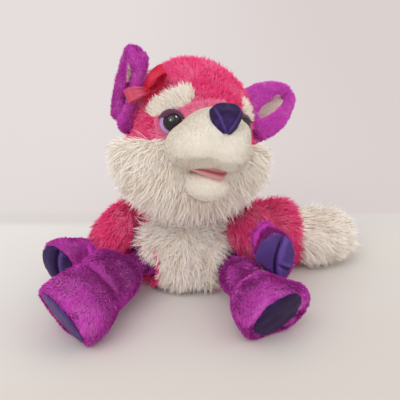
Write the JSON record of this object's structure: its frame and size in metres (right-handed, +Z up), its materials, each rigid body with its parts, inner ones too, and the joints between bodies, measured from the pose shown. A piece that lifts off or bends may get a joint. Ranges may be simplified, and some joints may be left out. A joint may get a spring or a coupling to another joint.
{
  "type": "stuffed animal",
  "caption": "Seated plush fox with ball-seated head, arms, legs and tail, sprung ears, safety eyes, shaggy cheeks and chest, satin pads and a bow at one ear.",
  "frame": {"origin": "on the resting plane, at the seat under the middle of the torso", "axes": "+Z up, the toy faces -Y, +X is the toy's own left, where the tail lies"},
  "size_m": [0.3149, 0.2343, 0.2413],
  "materials": {
    "pink_plush": "long pile plush",
    "purple_plush": "short pile plush",
    "white_plush": "shaggy plush",
    "fleece": "short fleece",
    "salmon_plush": "short fleece",
    "lip_felt": "felt",
    "violet_satin": "satin",
    "dark_plastic": "glossy",
    "lilac_plastic": "glossy",
    "lid_felt": "felt",
    "nylon": "moulded",
    "red_satin": "satin ribbon",
    "sheer_ribbon": "sheer ribbon",
    "fibre": "loose polyester fibre",
    "pellets": "cotton bag of pellets"
  },
  "bodies": {
    "torso": {"body_cover": "pink_plush", "chest_panel": "white_plush", "body_fill": "fibre", "pellet_bag": "pellets"},
    "neck": {"neck_core": "fibre"},
    "head": {"left_eye": "lilac_plastic", "left_pupil": "dark_plastic", "left_eye_washer": "nylon", "left_eyelid": "lid_felt", "right_eye": "lilac_plastic", "right_pupil": "dark_plastic", "right_eye_washer": "nylon", "right_eyelid": "lid_felt", "crown_cover": "pink_plush", "face_mask": "salmon_plush", "left_brow": "white_plush", "left_cheek": "white_plush", "right_brow": "white_plush", "right_cheek": "white_plush", "muzzle": "fleece", "chin": "fleece", "lips": "lip_felt", "head_fill": "fibre", "nose": "violet_satin", "bow_knot": "red_satin", "bow_loop_satin": "red_satin", "bow_loop_sheer": "sheer_ribbon"},
    "left_ear": {"left_ear_shell": "purple_plush", "left_ear_lining": "fleece"},
    "right_ear": {"right_ear_shell": "purple_plush", "right_ear_lining": "fleece"},
    "tail": {"tail_root_cover": "pink_plush", "tail_tip_cover": "white_plush", "tail_fill": "fibre"},
    "left_paw": {"left_palm_pad": "violet_satin", "left_paw_cover": "purple_plush", "left_paw_fill": "fibre"},
    "left_arm": {"left_upper_arm_cover": "pink_plush", "left_upper_arm_fill": "fibre"},
    "left_leg": {"left_sole_pad": "violet_satin", "left_leg_cover": "purple_plush", "left_leg_fill": "fibre"},
    "right_paw": {"right_palm_pad": "violet_satin", "right_paw_cover": "purple_plush", "right_paw_fill": "fibre"},
    "right_arm": {"right_upper_arm_cover": "pink_plush", "right_upper_arm_fill": "fibre"},
    "right_leg": {"right_sole_pad": "violet_satin", "right_leg_cover": "purple_plush", "right_leg_fill": "fibre"}
  },
  "joints": [
    {"name": "head_turn", "type": "hinge", "parent": "torso", "child": "neck", "pos_m": [0, -0.008, 0.096], "axis": [0, 0, 1], "range_deg": [-20, 20]},
    {"name": "head_nod", "type": "hinge", "parent": "neck", "child": "head", "pos_m": [0, -0.008, 0.096], "axis": [0.9397, 0.342, 0], "range_deg": [-8, 8]},
    {"name": "right_arm_lift", "type": "hinge", "parent": "torso", "child": "right_arm", "pos_m": [-0.052, -0.01, 0.066], "axis": [-0.5, 0.866, 0], "range_deg": [0, 25]},
    {"name": "left_arm_lift", "type": "hinge", "parent": "torso", "child": "left_arm", "pos_m": [0.052, -0.01, 0.066], "axis": [-0.8746, -0.4848, 0], "range_deg": [0, 10]},
    {"name": "right_paw_bend", "type": "hinge", "parent": "right_arm", "child": "right_paw", "pos_m": [-0.08423, -0.02861, 0.03896], "axis": [-0.1545, -0.1546, 0.9758], "range_deg": [-18, 0]},
    {"name": "left_paw_bend", "type": "hinge", "parent": "left_arm", "child": "left_paw", "pos_m": [0.07418, -0.05001, 0.06119], "axis": [0.036, -0.0599, 0.9976], "range_deg": [0, 18]},
    {"name": "right_leg_swing", "type": "hinge", "parent": "torso", "child": "right_leg", "pos_m": [-0.04, -0.03, 0.0295], "axis": [0, 0, 1], "range_deg": [0, 16]},
    {"name": "left_leg_swing", "type": "hinge", "parent": "torso", "child": "left_leg", "pos_m": [0.04, -0.03, 0.0295], "axis": [0, 0, 1], "range_deg": [-10, 0]},
    {"name": "right_ear_flex", "type": "hinge", "parent": "head", "child": "right_ear", "pos_m": [-0.05025, -0.02513, 0.17108], "axis": [-0.2954, 0.955, 0.0282], "range_deg": [-12, 12], "stiffness_Nm_per_rad": 0.03},
    {"name": "left_ear_flex", "type": "hinge", "parent": "head", "child": "left_ear", "pos_m": [0.06023, -0.00057, 0.16463], "axis": [-0.5198, 0.2206, 0.8253], "range_deg": [-12, 12], "stiffness_Nm_per_rad": 0.03},
    {"name": "tail_swing", "type": "hinge", "parent": "torso", "child": "tail", "pos_m": [0.042, 0.024, 0.035], "axis": [0, 0, 1], "range_deg": [0, 25]}
  ]
}
